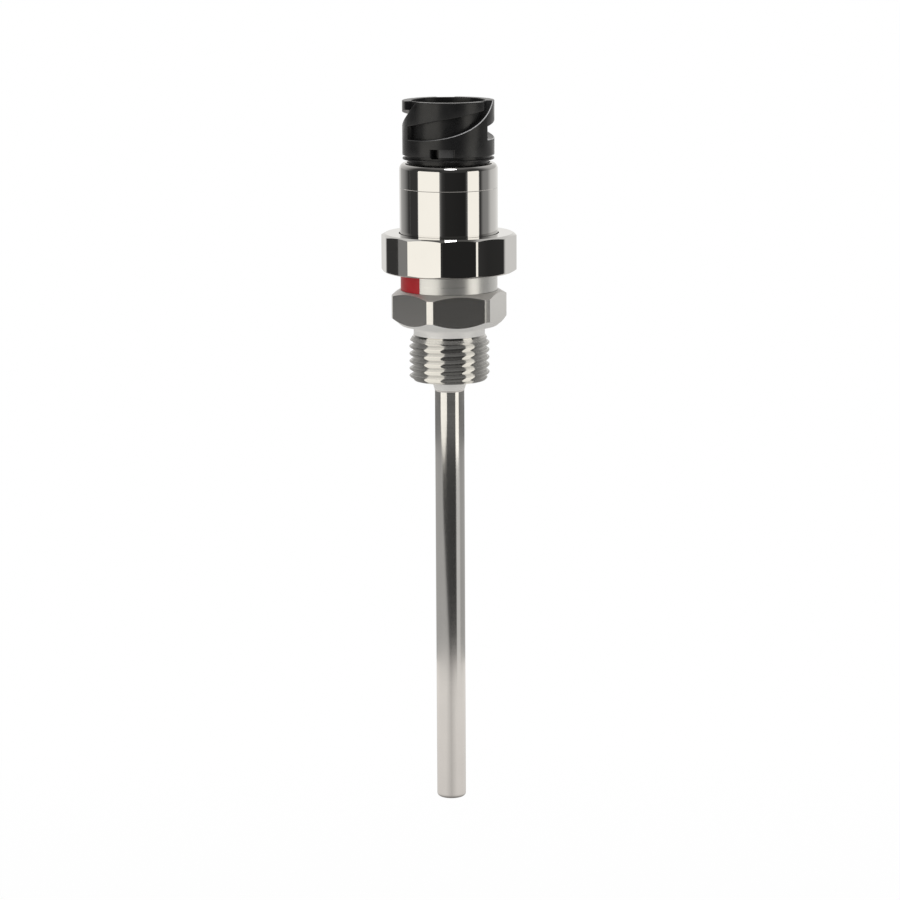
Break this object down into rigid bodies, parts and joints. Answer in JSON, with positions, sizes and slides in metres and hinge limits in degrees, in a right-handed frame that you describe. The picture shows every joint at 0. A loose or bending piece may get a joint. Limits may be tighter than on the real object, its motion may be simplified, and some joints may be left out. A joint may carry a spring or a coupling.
{
  "type": "immersion temperature sensor",
  "caption": "Screw-in immersion temperature sensor: slim closed protection tube, pipe thread and hexagon, twelve-sided union nut, and a bayonet receptacle for the cable plug.",
  "frame": {"origin": "on the sensor's axis, in the plane of the sealing face under the hexagon, from which insertion lengths are measured", "axes": "+Z along the axis from the protection tube's tip to the receptacle's rim; -Y is the front of the receptacle, where the latch window is"},
  "size_m": [0.0352, 0.0352, 0.1864],
  "materials": {
    "connector_plastic": "black glass-filled plastic with a light sheen",
    "carrier_plastic": "grey plastic, out of sight",
    "contact_metal": "plated contacts",
    "cast_resin": "dark cast resin, out of sight",
    "seal_rubber": "black rubber, out of sight",
    "polished_metal": "mirror-polished plated steel",
    "satin_steel": "satin turned stainless steel",
    "label_foil": "satin foil with a plain red field at its left",
    "ceramic_white": "white ceramic, out of sight",
    "lead_metal": "tinned wire, out of sight"
  },
  "bodies": {
    "sensor": {"connector_shell": "connector_plastic", "contact_carrier": "carrier_plastic", "contact_pin_1": "contact_metal", "contact_pin_2": "contact_metal", "contact_pin_3": "contact_metal", "contact_pin_4": "contact_metal", "potting_plug": "cast_resin", "connector_seal": "seal_rubber", "crimp_sleeve": "polished_metal", "support_sleeve": "carrier_plastic", "insert_gasket": "seal_rubber", "hex_body": "satin_steel", "label_band": "label_foil", "protection_tube": "satin_steel", "insert_tube": "satin_steel", "insert_ferrule": "satin_steel", "sensing_element": "ceramic_white", "insulator_rod": "ceramic_white", "insert_end_seal": "cast_resin", "lead_wire_1": "lead_metal", "lead_wire_2": "lead_metal", "lead_wire_3": "lead_metal", "lead_wire_4": "lead_metal"},
    "slip_ring": {"nut_slip_ring": "satin_steel"},
    "nut": {"union_nut": "polished_metal"}
  },
  "joints": [
    {"name": "nut_travel", "type": "slide", "parent": "sensor", "child": "slip_ring", "axis": [0, 0, 1], "range_m": [0, 0.0045]},
    {"name": "nut_turn", "type": "hinge", "parent": "slip_ring", "child": "nut", "pos_m": [0, 0, 0.019], "axis": [0, 0, 1], "range_deg": [0, 1080]}
  ],
  "couplings": [
    {"joint": "nut_travel", "follows": "nut_turn", "m_per_rad": 0.00023873}
  ]
}
